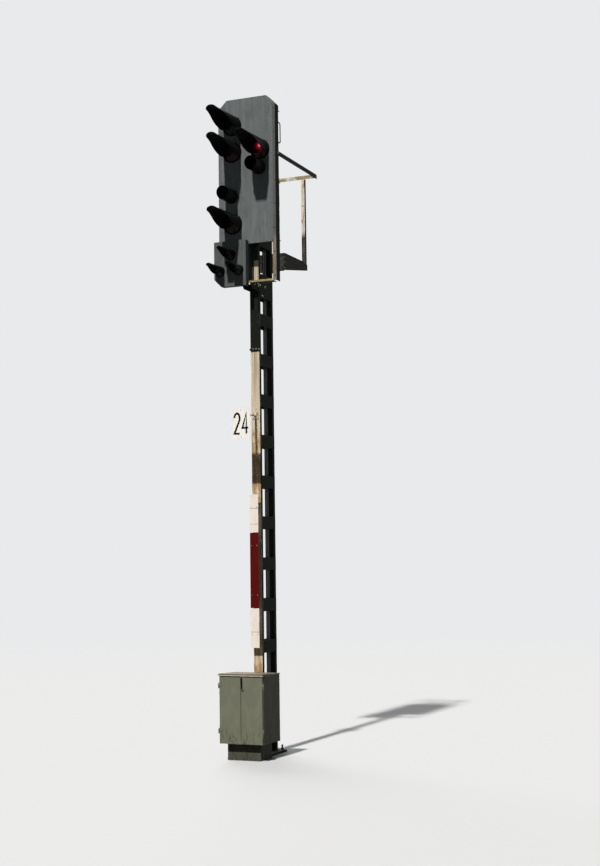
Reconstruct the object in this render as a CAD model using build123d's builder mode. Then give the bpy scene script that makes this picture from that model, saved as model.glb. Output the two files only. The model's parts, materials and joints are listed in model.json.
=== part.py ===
from build123d import *
import os
from math import sqrt

os.makedirs("parts", exist_ok=True)

# Colour-light main signal on a battened two-channel mast, in millimetres.
# X runs across the screen, -Y is the side that the lenses face, Z is up.
# The origin is the centre of the foot plate's flat underside.

# Mast: two rolled channels with flat battens on both sides
mast_width = 120
mast_depth = 440
head_top = 8405
mast_top = head_top - 115
web = 7
flange_length = 55
flange_thickness = 9
root_radius = 8
toe_radius = 4
batten_height = 160
batten_thickness = 8
batten_inset = 14
batten_pitch = 521
batten_first = 318
batten_count = int((mast_top - batten_height - batten_first) / batten_pitch) + 1
foot_batten_drop = 149
cap_thickness = 10
cap_overhang = 12

# Foot plate and gussets
foot_width = 300
foot_depth = 620
foot_thickness = 25
anchor_spacing_x = 210
anchor_spacing_y = 520
anchor_hole_radius = 14
gusset_height = 140
gusset_thickness = 10
gusset_reach = 75

# Head: the screen stands in front of the mast on three cross arms
head_offset = -20
head_width = 806
head_height = 2420
head_bottom = head_top - head_height
foot_batten = round((head_bottom - batten_first) / batten_pitch)
head_chamfer = 122
screen_front = -376
sheet = 3
plate_inset = 34
frame_thickness = 5
frame_depth = 113
frame_flange = 50
window_height = 505
window_bottom = head_bottom
main_bottom = window_bottom + window_height
sill_lip = 25
arm_height = 60
arm_thickness = 6
arm_low = main_bottom + 55
arm_middle = head_top - 1105
arm_high = head_top - 165
strut_height = 90
strut_thickness = 8
strut_leg = 868

# Subsidiary signal box at the lower left of the screen
box_width = 450
box_left = -455
box_bottom = head_bottom - 43
box_height = 588
box_top = box_bottom + box_height
box_depth = 84
box_chamfer = 98

# Lenses: columns, and levels below the top of the head
left_column = -223
right_column = 172
white_upper_column = 157
white_lower_column = -240
green_level = head_top - 349
red_level = head_top - 701
white_upper_level = head_top - 937
white_lower_level = head_top - 1279
yellow_level = head_top - 1645
sub_top_column = -222
sub_left_column = -372
sub_right_column = -110
sub_high = box_bottom + 403
sub_low = box_bottom + 200
lens_gap = 4
lens_bulge = 16
lens_depth = 12

# Hoods: the shares set how a hood tapers, droops and is cut away, whatever its size
large_radius = 128
large_hood_length = 632
sub_radius = 66
sub_hood_length = 340
small_radius = 87
small_hood_length = 280
small_rake = 40
hood_sheet = 3
hood_flange = 5
hood_flange_thickness = 4
collar_share = 0.2
tip_share = 0.72
droop_share = 0.16
nose_share = 0.16
edge_curve = (-0.29, -2.93, 10.17, -6.68)
cut_margin = 20

# Lamp housings on the back of the screen
housing_back = -150
housing_corner = 18
housing_width = 196
housing_shift = 8
small_low_housing = 120
large_housing = 240
small_housing = 170
cover_lip = 8
cover_thickness = 14
knob_radius = 12
knob_length = 20
terminal_x = 285
terminal_width = 150
terminal_back = -214
terminal_high = head_top - 1365
terminal_low = head_top - 1605
terminal_high_height = 160
terminal_low_height = 110

# Maintenance cage behind the head
cage_rear = 1035
rail_level = head_top - 720
rail_width = 40
rail_height = 60
rail_thickness = 5
rail_grip = 40
crossbar_height = 50
post_outer = 213
post_size = 50
post_thickness = 5
handle_radius = 7
handle_reach = 80
handle_bend = 30
handle_grip = 20
handle_length = 265
handle_high = head_top - 335
handle_low = handle_high - handle_length

# Platform: tapered brackets on a cross beam behind the mast
platform_level = head_bottom + 465
bracket_root = 216
bracket_tip = 80
bracket_thickness = 8
bracket_flange = 60
beam_depth = 50
beam_thickness = 7
grating_height = 30
grating_bar = 4
grating_edge = 9
grating_front = 30
grating_rear = 25
grating_bars = 17

# Name plate and mast sign
name_width = 250
name_height = 385
name_centre = 4152
name_corner = 12
name_front = -660
name_arm_level = name_centre + 133
name_arm_width = 30
name_arm_thickness = 6
name_strip = 325
name_foot = 90
sign_width = 118
sign_top = 3278
sign_white_top = 483
sign_red = 951
sign_white_low = 494
sign_front = -305
sign_joint = 4
sign_bracket_inset = 165
sign_bracket_height = 40
sign_bracket_thickness = 5
sign_bracket_margin = 8
sign_bracket_stem = 30

# Cabinet in front of the mast foot
cabinet_width = 588
cabinet_bottom = 205
cabinet_height = 830
cabinet_top = cabinet_bottom + cabinet_height
cabinet_front = -745
cabinet_gap = 12
cabinet_sheet = 3
front_lip = 28
door_thickness = 22
door_clearance = 5
door_edge = 4
door_meeting = 3
roof_overhang = 10
roof_front_height = 24
roof_rear_height = 6
hinge_offset = 8
hinge_knuckle = 8
hinge_pin = 4
hinge_play = 0.3
hinge_leaf_height = 34
hinge_body_height = 26
hinge_low = cabinet_bottom + 125
hinge_high = cabinet_top - 155
hinge_strap = 4
hinge_wing = 30
hinge_reach = 40
handle_level = cabinet_top - 85
door_handle_height = 130
door_handle_width = 20
door_handle_proud = 16
door_handle_round = 5
plinth_inset_x = 70
plinth_inset_front = 60
plinth_clearance = 20
bearer_height = 50
bearer_low = cabinet_bottom + 95
bearer_high = cabinet_top - 135
bearer_reach = 190
board_inset = 45
board_thickness = 4
block_rows = 3
block_height = 60
block_depth = 45
block_margin = 30

# Signal cable clipped to the rear channel, inside the mast
cable_radius = 17
cable_y = 110
clip_wall = 5
clip_height = 30

front_web = -mast_depth / 2
rear_web = mast_depth / 2
head_left = head_offset - head_width / 2
head_right = head_offset + head_width / 2
frame_front = screen_front + sheet
frame_back = frame_front + frame_depth


def save(builder, label):
    builder.part.label = label
    export_step(builder.part, "parts/" + label + ".step")
    return builder.part


def block(x0, x1, y0, y1, z0, z1, mode=Mode.ADD):
    with Locations(((x0 + x1) / 2, (y0 + y1) / 2, (z0 + z1) / 2)):
        return Box(x1 - x0, y1 - y0, z1 - z0, mode=mode)


def prism(points, plane, length, mode=Mode.ADD):
    with BuildSketch(plane) as profile:
        with BuildLine():
            Polyline(*points, close=True)
        make_face()
    return extrude(profile.sketch, amount=length, mode=mode)


# Mast


def channel(label, facing):
    """A rolled channel whose web is the outer face and whose flanges point inwards."""
    half = mast_width / 2
    inner = half - flange_thickness
    outside = -facing * mast_depth / 2
    with BuildPart() as piece:
        with BuildSketch(Plane.XY.offset(foot_thickness)) as profile:
            with BuildLine():
                Polyline(
                    (-half, outside),
                    (half, outside),
                    (half, outside + facing * flange_length),
                    (inner, outside + facing * flange_length),
                    (inner, outside + facing * web),
                    (-inner, outside + facing * web),
                    (-inner, outside + facing * flange_length),
                    (-half, outside + facing * flange_length),
                    close=True,
                )
            make_face()
            corners = profile.vertices()
            roots = [v for v in corners if abs(abs(v.Y) - mast_depth / 2 + web) < 0.1]
            fillet(roots, root_radius)
            toes = [v for v in profile.vertices() if abs(abs(v.Y) - mast_depth / 2 + flange_length) < 0.1]
            fillet([v for v in toes if abs(abs(v.X) - inner) < 0.1], toe_radius)
        extrude(amount=mast_top - foot_thickness)
    save(piece, label)


channel("front_channel", 1)
channel("rear_channel", -1)


def battens(label, side):
    """The row of flat plates that ties the two channels on one side."""
    reach = mast_depth / 2 - batten_inset
    x0 = side * mast_width / 2
    x1 = side * (mast_width / 2 + batten_thickness)
    with BuildPart() as row:
        for index in range(batten_count):
            low = batten_first + index * batten_pitch - batten_height / 2
            high = low + batten_height
            if index == foot_batten:
                low -= foot_batten_drop
            block(min(x0, x1), max(x0, x1), -reach, reach, low, high)
    save(row, label)


battens("battens_right", 1)
battens("battens_left", -1)

with BuildPart() as foot_plate:
    with BuildSketch():
        Rectangle(foot_width, foot_depth)
        with GridLocations(anchor_spacing_x, anchor_spacing_y, 2, 2):
            Circle(anchor_hole_radius, mode=Mode.SUBTRACT)
    extrude(amount=foot_thickness)
save(foot_plate, "foot_plate")

with BuildPart() as foot_gussets:
    for facing in (-1, 1):
        face = facing * mast_depth / 2
        prism(
            [
                (face, foot_thickness),
                (face + facing * gusset_reach, foot_thickness),
                (face + facing * gusset_reach, foot_thickness + gusset_thickness * 2),
                (face + facing * gusset_thickness * 2, foot_thickness + gusset_height),
                (face, foot_thickness + gusset_height),
            ],
            Plane.YZ.offset(-gusset_thickness / 2),
            gusset_thickness,
        )
save(foot_gussets, "foot_gussets")

with BuildPart() as mast_cap:
    with BuildSketch(Plane.XY.offset(mast_top)):
        RectangleRounded(mast_width + 2 * cap_overhang, mast_depth + 2 * cap_overhang, cap_overhang)
    extrude(amount=cap_thickness)
    chamfer(mast_cap.faces().sort_by(Axis.Z)[-1].edges(), cap_thickness / 3)
save(mast_cap, "mast_cap")

# The cable runs up between the channels
cable_low = bearer_high
cable_high = arm_low
with BuildPart() as signal_cable:
    with BuildSketch(Plane.XY.offset(cable_low)):
        with Locations((0, cable_y)):
            Circle(cable_radius)
    extrude(amount=cable_high - cable_low)
save(signal_cable, "signal_cable")

with BuildPart() as cable_clips:
    for index in range(2, batten_count - 4, 2):
        level = batten_first + index * batten_pitch
        with BuildSketch(Plane.XY.offset(level)):
            with Locations((0, (cable_y + rear_web - web) / 2)):
                Rectangle(2 * cable_radius, rear_web - web - cable_y)
            with Locations((0, cable_y)):
                Circle(cable_radius + clip_wall)
                Circle(cable_radius, mode=Mode.SUBTRACT)
        extrude(amount=clip_height)
save(cable_clips, "cable_clips")

# Screen and its frame


def front_plane(y):
    """A sketch plane that is seen from the front: local x is +X, local y is +Z, normal is -Y."""
    return Plane(origin=(0, y, 0), x_dir=(1, 0, 0), z_dir=(0, -1, 0))


window_left = box_left + box_width - frame_thickness
plate_left = head_left + plate_inset
plate_right = head_right - plate_inset

with BuildPart() as screen_plate:
    prism(
        [
            (plate_left, head_bottom + box_chamfer - plate_inset),
            (head_left + box_chamfer, head_bottom),
            (window_left, head_bottom),
            (window_left, main_bottom),
            (plate_right, main_bottom),
            (plate_right, head_top - head_chamfer + plate_inset),
            (head_right - head_chamfer, head_top),
            (head_left + head_chamfer, head_top),
            (plate_left, head_top - head_chamfer + plate_inset),
        ],
        front_plane(frame_front),
        sheet,
    )
save(screen_plate, "screen_plate")


def upright(label, edge, inward, low, high):
    """An upright angle: one leg behind the screen plate, the other along the screen's edge."""
    with BuildPart() as side:
        with BuildSketch(Plane.XY.offset(low)):
            with BuildLine():
                Polyline(
                    (edge, frame_front),
                    (edge, frame_back),
                    (edge + inward * frame_thickness, frame_back),
                    (edge + inward * frame_thickness, frame_front + frame_thickness),
                    (edge + inward * frame_flange, frame_front + frame_thickness),
                    (edge + inward * frame_flange, frame_front),
                    close=True,
                )
            make_face()
        extrude(amount=high - low)
    save(side, label)


upright("frame_right", head_right, -1, head_bottom, head_top - head_chamfer)
upright("frame_left", head_left, 1, head_bottom + box_chamfer, head_top - head_chamfer)
upright("window_jamb", window_left, -1, head_bottom, main_bottom)


with BuildPart() as frame_top:
    base = head_top - head_chamfer
    slope = frame_thickness * (sqrt(2) - 1)
    outer = [
        (head_left, base),
        (head_left + head_chamfer, head_top),
        (head_right - head_chamfer, head_top),
        (head_right, base),
    ]
    inner = [
        (head_right - frame_thickness * sqrt(2), base),
        (head_right - head_chamfer - slope, head_top - frame_thickness),
        (head_left + head_chamfer + slope, head_top - frame_thickness),
        (head_left + frame_thickness * sqrt(2), base),
    ]
    prism(outer + inner, front_plane(frame_back), frame_depth)
save(frame_top, "frame_top")

with BuildPart() as window_sill:
    sill_left = window_left
    sill_right = head_right - frame_flange
    with BuildSketch(Plane.YZ.offset(sill_left)):
        with BuildLine():
            Polyline(
                (frame_front, head_bottom),
                (frame_back, head_bottom),
                (frame_back, head_bottom + frame_thickness),
                (frame_front + frame_thickness, head_bottom + frame_thickness),
                (frame_front + frame_thickness, head_bottom + sill_lip),
                (frame_front, head_bottom + sill_lip),
                close=True,
            )
        make_face()
    extrude(amount=sill_right - sill_left)
save(window_sill, "window_sill")

# Cross arms between the mast and the screen frame
with BuildPart() as head_arms:
    for level in (arm_low, arm_middle, arm_high):
        low = level - arm_height / 2
        high = level + arm_height / 2
        block(head_left, head_right, frame_back, frame_back + arm_thickness, low, high)
        block(head_left, head_right, frame_back + arm_thickness, front_web, low, low + arm_thickness)
save(head_arms, "head_arms")

# Two strut plates carry the foot of the screen and the box in front of it. Their leg runs down the mast
box_front = screen_front - box_depth
strut_bottom = head_bottom - strut_height
strut_nose = box_bottom - strut_bottom
with BuildPart() as lower_strut:
    for start in (-mast_width / 2, mast_width / 2 - strut_thickness):
        prism(
            [
                (box_front, box_bottom),
                (screen_front, box_bottom),
                (screen_front, head_bottom),
                (front_web, head_bottom),
                (front_web, strut_bottom),
                (box_front + strut_nose, strut_bottom),
            ],
            Plane.YZ.offset(start),
            strut_thickness,
        )
    block(
        -mast_width / 2,
        mast_width / 2,
        front_web - strut_thickness,
        front_web,
        head_bottom - strut_leg,
        head_bottom,
    )
save(lower_strut, "lower_strut")

# Subsidiary signal box, open towards the screen plate
box_right = box_left + box_width
box_outline = [
    (box_left, box_bottom + box_chamfer),
    (box_left + box_chamfer, box_bottom),
    (box_right, box_bottom),
    (box_right, box_top),
    (box_left, box_top),
]
with BuildPart() as subsidiary_box:
    prism(box_outline, front_plane(screen_front), box_depth)
    with BuildSketch(front_plane(screen_front)):
        with BuildLine():
            Polyline(*box_outline, close=True)
        make_face()
        offset(amount=-sheet, kind=Kind.INTERSECTION, mode=Mode.REPLACE)
    extrude(amount=box_depth - sheet, mode=Mode.SUBTRACT)
save(subsidiary_box, "subsidiary_box")

# Hoods


def mouth_flange(x, z, face, radius):
    """The ring that screws a hood to the face behind it."""
    with BuildSketch(front_plane(face)) as ring:
        with Locations((x, z)):
            Circle(radius + hood_flange)
            Circle(radius - hood_sheet, mode=Mode.SUBTRACT)
    extrude(ring.sketch, amount=hood_flange_thickness)


def beak_hood(label, x, z, face, radius, length):
    """A tapering sheet tube that is cut away below, so that a drooping beak is left."""
    collar = radius * collar_share
    tip_radius = radius * tip_share
    tip_top = radius * (1 - droop_share)

    def lower_edge(share):
        height = sum(factor * share ** power for power, factor in enumerate(edge_curve))
        return (face - length * share, z + radius * height)

    with BuildPart() as hood:
        for shrink, mode in ((0, Mode.ADD), (hood_sheet, Mode.SUBTRACT)):
            with BuildSketch(front_plane(face)):
                with Locations((x, z)):
                    Circle(radius - shrink)
            extrude(amount=collar, mode=mode)
            with BuildSketch(front_plane(face - collar), mode=Mode.PRIVATE) as wide:
                with Locations((x, z)):
                    Circle(radius - shrink)
            with BuildSketch(front_plane(face - length), mode=Mode.PRIVATE) as narrow:
                with Locations((x, z + tip_top - tip_radius)):
                    Circle(tip_radius - shrink)
            loft([wide.sketch, narrow.sketch], mode=mode)
        with BuildSketch(Plane.YZ.offset(x - radius - cut_margin)):
            with BuildLine():
                shares = (collar / length, 0.2, 0.4, 0.6, 1 - nose_share)
                edge = Spline(*[lower_edge(share) for share in shares])
                nose = Spline(
                    edge @ 1,
                    (face - length + hood_sheet, z + tip_top + hood_sheet),
                    tangents=[edge % 1, (0, 1)],
                )
                Polyline(
                    nose @ 1,
                    (face - length - cut_margin, z + tip_top + hood_sheet),
                    (face - length - cut_margin, z - 2 * radius),
                    ((edge @ 0).X, z - 2 * radius),
                    edge @ 0,
                )
            make_face()
        extrude(amount=2 * (radius + cut_margin), mode=Mode.SUBTRACT)
        mouth_flange(x, z, face, radius)
    save(hood, label)


def tube_hood(label, x, z, face, radius, length, rake):
    """A plain tube hood whose open end is cut at a slant."""
    with BuildPart() as hood:
        with BuildSketch(front_plane(face)):
            with Locations((x, z)):
                Circle(radius)
                Circle(radius - hood_sheet, mode=Mode.SUBTRACT)
        extrude(amount=length)
        with BuildSketch(Plane.YZ.offset(x - radius - cut_margin)):
            with BuildLine():
                Polyline(
                    (face - length, z + radius),
                    (face - length + rake, z - radius),
                    (face - length - cut_margin, z - radius),
                    (face - length - cut_margin, z + radius),
                    close=True,
                )
            make_face()
        extrude(amount=2 * (radius + cut_margin), mode=Mode.SUBTRACT)
        mouth_flange(x, z, face, radius)
    save(hood, label)


large_places = {
    "green": (left_column, green_level),
    "red_left": (left_column, red_level),
    "red_right": (right_column, red_level),
    "yellow": (left_column, yellow_level),
}
small_places = {
    "white_upper": (white_upper_column, white_upper_level),
    "white_lower": (white_lower_column, white_lower_level),
}
sub_places = {
    "sub_top": (sub_top_column, sub_high),
    "sub_left": (sub_left_column, sub_low),
    "sub_right": (sub_right_column, sub_low),
}

for place, (x, z) in large_places.items():
    beak_hood("hood_" + place, x, z, screen_front, large_radius, large_hood_length)
for place, (x, z) in small_places.items():
    tube_hood("hood_" + place, x, z, screen_front, small_radius, small_hood_length, small_rake)
for place, (x, z) in sub_places.items():
    beak_hood("hood_" + place, x, z, box_front, sub_radius, sub_hood_length)

# Lenses: a shallow dome on a flat rim, seated on the plate inside its collar


def lens(x, z, face, radius):
    dome = (radius ** 2 + lens_bulge ** 2) / (2 * lens_bulge)
    with BuildSketch(Plane(origin=(x, face, z), x_dir=(1, 0, 0), z_dir=(0, 0, 1))) as half:
        with BuildLine():
            Line((0, 0), (radius, 0))
            Line((radius, 0), (radius, -lens_depth))
            RadiusArc((radius, -lens_depth), (0, -lens_depth - lens_bulge), dome)
            Line((0, -lens_depth - lens_bulge), (0, 0))
        make_face()
    revolve(half.sketch, axis=Axis((x, face, z), (0, 1, 0)))


large_lens = large_radius - hood_sheet - lens_gap
small_lens = small_radius - hood_sheet - lens_gap
sub_lens = sub_radius - hood_sheet - lens_gap
lens_groups = {
    "lens_green": [(large_places["green"], screen_front, large_lens)],
    "lens_red_left": [(large_places["red_left"], screen_front, large_lens)],
    "lens_red_right": [(large_places["red_right"], screen_front, large_lens)],
    "lens_yellow": [(large_places["yellow"], screen_front, large_lens)],
    "lenses_white": [(at, screen_front, small_lens) for at in small_places.values()],
    "lenses_subsidiary": [(at, box_front, sub_lens) for at in sub_places.values()],
}
for label, members in lens_groups.items():
    with BuildPart() as glass:
        for (x, z), face, radius in members:
            lens(x, z, face, radius)
    save(glass, label)

# Lamp housings and terminal box behind the screen


def housing(x, z, width, height, face, back):
    with BuildSketch(front_plane(back)) as outline:
        with Locations((x, z)):
            RectangleRounded(width, height, housing_corner)
    extrude(outline.sketch, amount=back - face)


def cover(x, z, width, height, back, knob_x, knob_levels):
    with BuildSketch(front_plane(back)) as outline:
        with Locations((x, z)):
            RectangleRounded(width + 2 * cover_lip, height + 2 * cover_lip, housing_corner)
    extrude(outline.sketch, amount=-cover_thickness)
    with BuildSketch(front_plane(back + cover_thickness)) as knobs:
        with Locations(*[(knob_x, level) for level in knob_levels]):
            Circle(knob_radius)
    extrude(knobs.sketch, amount=-knob_length)


housings = [
    (large_places["green"], large_housing),
    (large_places["red_left"], large_housing),
    (large_places["yellow"], large_housing),
    (small_places["white_lower"], small_housing),
    (large_places["red_right"], large_housing),
]
with BuildPart() as lamp_housings:
    for (x, z), height in housings:
        housing(x + housing_shift, z, housing_width, height, frame_front, housing_back)
    small_x, small_z = small_places["white_upper"]
    small_drop = (small_housing - small_low_housing) / 2
    housing(
        small_x + housing_shift, small_z - small_drop,
        housing_width, small_low_housing, frame_front, housing_back,
    )
save(lamp_housings, "lamp_housings")
with BuildPart() as housing_covers:
    for (x, z), height in housings:
        middle = x + housing_shift
        knob_levels = (z - height / 4, z + height / 4)
        cover(middle, z, housing_width, height, housing_back, middle + housing_width / 4, knob_levels)
save(housing_covers, "housing_covers")

# Two terminal boxes stand one above the other beside the housings
with BuildPart() as terminal_boxes:
    for z, height in ((terminal_high, terminal_high_height), (terminal_low, terminal_low_height)):
        housing(terminal_x, z, terminal_width, height, frame_front + frame_thickness, terminal_back)
        lid_width = terminal_width - 2 * cover_lip
        lid_height = height - 2 * cover_lip
        cover(terminal_x, z, lid_width, lid_height, terminal_back, terminal_x + terminal_width / 3, (z,))
save(terminal_boxes, "terminal_boxes")

# Maintenance cage
rail_right = head_right - frame_thickness
rail_left = head_left + frame_thickness
rail_front = frame_back - rail_grip


def angle_bar(corner, leg_a, leg_b, thickness):
    """The outline of an angle bar: legs run from the corner by the signed lengths given."""
    x, y = corner
    step_a = thickness if leg_a > 0 else -thickness
    step_b = thickness if leg_b > 0 else -thickness
    return [
        (x, y),
        (x + leg_a, y),
        (x + leg_a, y + step_b),
        (x + step_a, y + step_b),
        (x + step_a, y + leg_b),
        (x, y + leg_b),
    ]


with BuildPart() as cage_rails:
    for outer, inward in ((rail_right, -1), (rail_left, 1)):
        legs = angle_bar((outer, rail_level), inward * rail_width, -rail_height, rail_thickness)
        prism(legs, front_plane(cage_rear), cage_rear - rail_front)
save(cage_rails, "cage_rails")

crossbar_front = cage_rear - post_size
crossbar_top = rail_level - rail_thickness
with BuildPart() as cage_crossbar:
    legs = angle_bar((crossbar_front, crossbar_top), post_size, -crossbar_height, rail_thickness)
    left_end = rail_left + rail_thickness
    right_end = rail_right - rail_thickness
    prism(legs, Plane.YZ.offset(left_end), right_end - left_end)
save(cage_crossbar, "cage_crossbar")

post_top = crossbar_top - crossbar_height
with BuildPart() as cage_posts:
    for side in (-1, 1):
        legs = angle_bar((side * post_outer, crossbar_front), -side * post_size, post_size, post_thickness)
        prism(legs, Plane.XY.offset(platform_level), post_top - platform_level)
save(cage_posts, "cage_posts")

with BuildPart() as grab_handles:
    start = frame_back - handle_grip
    for edge, side in ((head_right, 1), (head_left, -1)):
        x = edge - side * (frame_thickness + handle_radius)
        with BuildLine():
            FilletPolyline(
                (x, start, handle_low),
                (x, frame_back + handle_reach, handle_low),
                (x, frame_back + handle_reach, handle_high),
                (x, start, handle_high),
                radius=handle_bend,
            )
        with BuildSketch(Plane(origin=(x, start, handle_low), z_dir=(0, 1, 0))):
            Circle(handle_radius)
        sweep()
save(grab_handles, "grab_handles")

# Platform
beam_front = rear_web
beam_back = rear_web + beam_depth
with BuildPart() as platform_beam:
    low = platform_level - bracket_root
    flanges = beam_front + beam_thickness
    block(-post_outer, post_outer, beam_front, flanges, low, platform_level)
    for bottom in (low, platform_level - beam_thickness):
        block(-post_outer, post_outer, flanges, beam_back, bottom, bottom + beam_thickness)
save(platform_beam, "platform_beam")


with BuildPart() as platform_brackets:
    for side in (-1, 1):
        outer = side * post_outer
        start = min(outer, outer + side * bracket_thickness)
        flange = sorted((outer, outer - side * bracket_flange))
        prism(
            [
                (beam_front, platform_level - bracket_root),
                (beam_front, platform_level),
                (cage_rear, platform_level),
                (cage_rear, platform_level - bracket_tip),
            ],
            Plane.YZ.offset(start),
            bracket_thickness,
        )
        block(
            flange[0], flange[1], beam_back, cage_rear,
            platform_level - bracket_thickness, platform_level,
        )
save(platform_brackets, "platform_brackets")

with BuildPart() as platform_grating:
    reach = post_outer - grating_edge
    front = beam_back + grating_front
    rear = cage_rear - post_size - grating_rear
    step = (rear - front - grating_bar) / (grating_bars - 1)
    top = platform_level + grating_height
    for index in range(grating_bars):
        y = front + index * step
        block(-reach, reach, y, y + grating_bar, platform_level, top)
    for x in (-reach, -grating_bar / 2, reach - grating_bar):
        block(x, x + grating_bar, front, rear, platform_level, top)
save(platform_grating, "platform_grating")

# Name plate
with BuildPart() as name_plate:
    with BuildSketch(front_plane(name_front + sheet)):
        with Locations((0, name_centre)):
            RectangleRounded(name_width, name_height, name_corner)
    extrude(amount=sheet)
save(name_plate, "name_plate")

with BuildPart() as name_plate_arm:
    strip_back = name_front + sheet + name_arm_thickness
    foot_front = front_web - name_arm_thickness
    half = name_arm_width / 2
    strip_low = name_centre - name_strip / 2
    block(-half, half, name_front + sheet, strip_back, strip_low, strip_low + name_strip)
    block(-half, half, strip_back, foot_front, name_arm_level - name_arm_thickness, name_arm_level)
    block(
        -name_foot / 2, name_foot / 2, foot_front, front_web,
        name_arm_level - name_foot / 2, name_arm_level + name_foot / 2,
    )
save(name_plate_arm, "name_plate_arm")

# Mast sign in white, red and white
sign_back = sign_front + sheet
red_top = sign_top - sign_white_top
red_bottom = red_top - sign_red
sign_bottom = red_bottom - sign_white_low
half_sign = sign_width / 2
half_joint = sign_joint / 2
with BuildPart() as mast_sign_white:
    block(-half_sign, half_sign, sign_front, sign_back, red_top + half_joint, sign_top)
    block(-half_sign, half_sign, sign_front, sign_back, sign_bottom, red_bottom - half_joint)
save(mast_sign_white, "mast_sign_white")
with BuildPart() as mast_sign_red:
    block(-half_sign, half_sign, sign_front, sign_back, red_bottom + half_joint, red_top - half_joint)
save(mast_sign_red, "mast_sign_red")
with BuildPart() as mast_sign_brackets:
    head = half_sign - sign_bracket_margin
    stem = sign_bracket_stem / 2
    stem_front = sign_back + sign_bracket_thickness
    for edge, step in ((sign_top, -1), (red_top, -1), (red_bottom, 1), (sign_bottom, 1)):
        level = edge + step * sign_bracket_inset
        low = level - sign_bracket_height / 2
        high = level + sign_bracket_height / 2
        block(-head, head, sign_back, stem_front, low, high)
        block(-stem, stem, stem_front, front_web, low, high)
save(mast_sign_brackets, "mast_sign_brackets")

# Cabinet
half_cabinet = cabinet_width / 2
cabinet_back = front_web - cabinet_gap
body_front = cabinet_front + door_thickness + door_clearance
with BuildPart() as cabinet_body:
    block(-half_cabinet, half_cabinet, body_front, cabinet_back, cabinet_bottom, cabinet_top)
    block(
        -half_cabinet + cabinet_sheet, half_cabinet - cabinet_sheet,
        body_front + cabinet_sheet, cabinet_back - cabinet_sheet,
        cabinet_bottom + cabinet_sheet, cabinet_top - cabinet_sheet, mode=Mode.SUBTRACT,
    )
    block(
        -half_cabinet + front_lip, half_cabinet - front_lip,
        body_front - 1, body_front + cabinet_sheet + 1,
        cabinet_bottom + front_lip, cabinet_top - front_lip, mode=Mode.SUBTRACT,
    )
save(cabinet_body, "cabinet_body")

with BuildPart() as cabinet_roof:
    prism(
        [
            (cabinet_front - roof_overhang, cabinet_top),
            (cabinet_front - roof_overhang, cabinet_top + roof_front_height),
            (cabinet_back, cabinet_top + roof_rear_height),
            (cabinet_back, cabinet_top),
        ],
        Plane.YZ.offset(-half_cabinet - roof_overhang),
        cabinet_width + 2 * roof_overhang,
    )
save(cabinet_roof, "cabinet_roof")

hinge_x = half_cabinet + hinge_offset
hinge_y = cabinet_front + hinge_knuckle - hinge_strap
door_low = cabinet_bottom + door_edge
door_high = cabinet_top - door_clearance - 1


def door(label, side, with_handle):
    """A folded door leaf with its two hinge knuckles."""
    near = side * door_meeting
    far = side * (half_cabinet - door_edge)
    x0, x1 = sorted((near, far))
    with BuildPart() as leaf:
        block(x0, x1, cabinet_front, cabinet_front + door_thickness, door_low, door_high)
        block(
            x0 + cabinet_sheet, x1 - cabinet_sheet,
            cabinet_front + cabinet_sheet, cabinet_front + door_thickness + 1,
            door_low + cabinet_sheet, door_high - cabinet_sheet, mode=Mode.SUBTRACT,
        )
        for level in (hinge_low, hinge_high):
            low = level + hinge_body_height + 1
            wing = sorted((far - side * hinge_wing, side * hinge_x))
            block(
                wing[0], wing[1], cabinet_front - hinge_strap, cabinet_front,
                low, low + hinge_leaf_height,
            )
            with BuildSketch(Plane.XY.offset(low)):
                with Locations((side * hinge_x, hinge_y)):
                    Circle(hinge_knuckle)
            extrude(amount=hinge_leaf_height)
            with BuildSketch(Plane.XY.offset(low)):
                with Locations((side * hinge_x, hinge_y)):
                    Circle(hinge_pin + hinge_play)
            extrude(amount=hinge_leaf_height, mode=Mode.SUBTRACT)
        if with_handle:
            with BuildSketch(front_plane(cabinet_front)):
                with Locations((side * (door_meeting + 1 + door_handle_width / 2), handle_level)):
                    SlotOverall(door_handle_height, door_handle_width, rotation=90)
            extrude(amount=door_handle_proud)
            fillet(leaf.faces().sort_by(Axis.Y)[0].edges(), door_handle_round)
    save(leaf, label)


door("cabinet_door_left", -1, False)
door("cabinet_door_right", 1, True)

with BuildPart() as cabinet_hinges:
    for side in (-1, 1):
        strap = sorted((side * half_cabinet, side * (half_cabinet + hinge_strap)))
        for level in (hinge_low, hinge_high):
            block(strap[0], strap[1], hinge_y, body_front + hinge_reach, level, level + hinge_body_height)
            with BuildSketch(Plane.XY.offset(level)):
                with Locations((side * hinge_x, hinge_y)):
                    Circle(hinge_knuckle)
            extrude(amount=hinge_body_height)
            with BuildSketch(Plane.XY.offset(level + hinge_body_height)):
                with Locations((side * hinge_x, hinge_y)):
                    Circle(hinge_pin)
            extrude(amount=hinge_leaf_height + 4)
save(cabinet_hinges, "cabinet_hinges")

with BuildPart() as cabinet_bearers:
    for level in (bearer_low, bearer_high):
        block(
            -bearer_reach, bearer_reach, cabinet_back, front_web,
            level - bearer_height / 2, level + bearer_height / 2,
        )
save(cabinet_bearers, "cabinet_bearers")

with BuildPart() as cabinet_plinth:
    x = half_cabinet - plinth_inset_x
    y0 = body_front + plinth_inset_front
    y1 = -foot_depth / 2 - plinth_clearance
    block(-x, x, y0, y1, 0, cabinet_bottom)
    block(
        -x + cabinet_sheet, x - cabinet_sheet, y0 + cabinet_sheet, y1 - cabinet_sheet,
        0, cabinet_bottom, mode=Mode.SUBTRACT,
    )
save(cabinet_plinth, "cabinet_plinth")

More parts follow.
